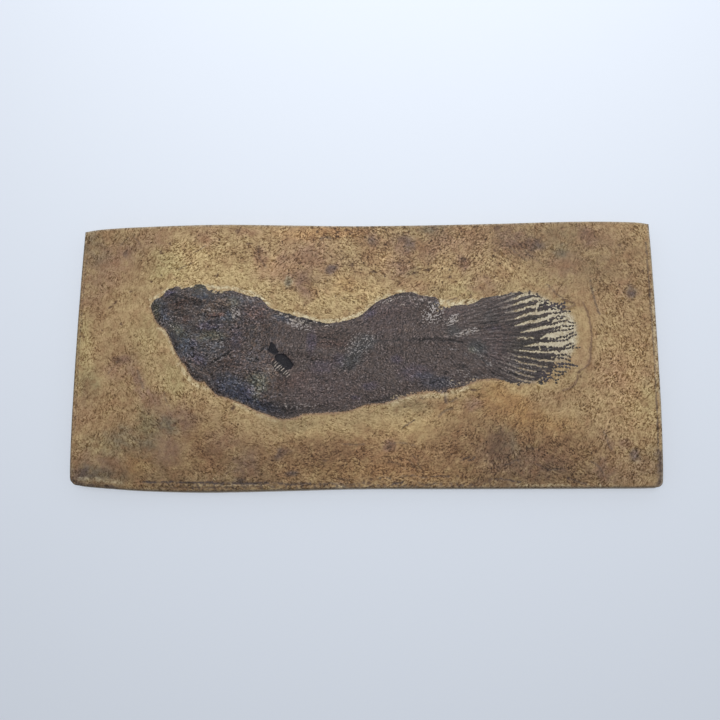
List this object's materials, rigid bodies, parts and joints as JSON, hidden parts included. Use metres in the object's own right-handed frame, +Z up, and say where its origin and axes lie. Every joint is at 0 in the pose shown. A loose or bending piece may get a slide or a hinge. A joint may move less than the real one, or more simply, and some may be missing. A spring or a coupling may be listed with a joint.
{
  "type": "fossil fish slab",
  "caption": "Thin rectangular resin plate with a bowfin-like fossil fish lying in low relief in its face, its tail fin's rays spread like a fan.",
  "frame": {"origin": "on the plate's flat underside, under the middle of its outline", "axes": "+X along the plate towards the tail, +Y across it towards the fish's back, +Z up out of the face that shows the fish"},
  "size_m": [0.3026, 0.1424, 0.0119],
  "materials": {
    "cast_resin": "ochre casting resin with a satin, brushed face, brown and purple stains and fine dark strokes",
    "fossil_film": "dark brown fossil bone and scale film, matt, finely grained, blue-black and olive on the skull"
  },
  "bodies": {
    "root": {"matrix_slab": "cast_resin", "fish": "fossil_film"}
  },
  "joints": []
}
